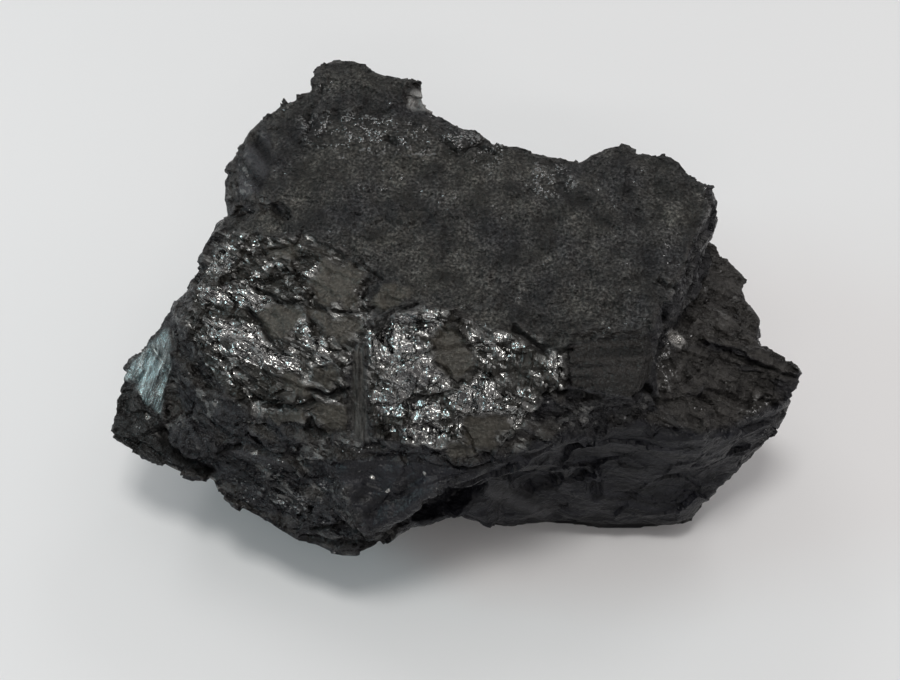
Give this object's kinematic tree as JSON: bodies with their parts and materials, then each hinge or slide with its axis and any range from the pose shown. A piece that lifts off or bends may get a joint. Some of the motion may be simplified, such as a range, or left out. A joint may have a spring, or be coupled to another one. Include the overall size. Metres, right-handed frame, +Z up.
{
  "type": "coal lump",
  "caption": "Hand-sized irregular lump of banded black coal with a dull granular top, a bright hackly front slope, an overhanging lower left side and a flat underside it rests on.",
  "frame": {"origin": "middle of the bounding box in plan, at the level of the flat underside", "axes": "+X along the longest side, +Y towards the back of the lump, +Z up, square to the flat underside"},
  "size_m": [0.099, 0.0642, 0.0467],
  "materials": {
    "coal": "black coal in near-horizontal bands, dull and granular on the top face, bright and glassy where it broke on the front slope"
  },
  "bodies": {
    "root": {"coal_lump": "coal"}
  },
  "joints": []
}
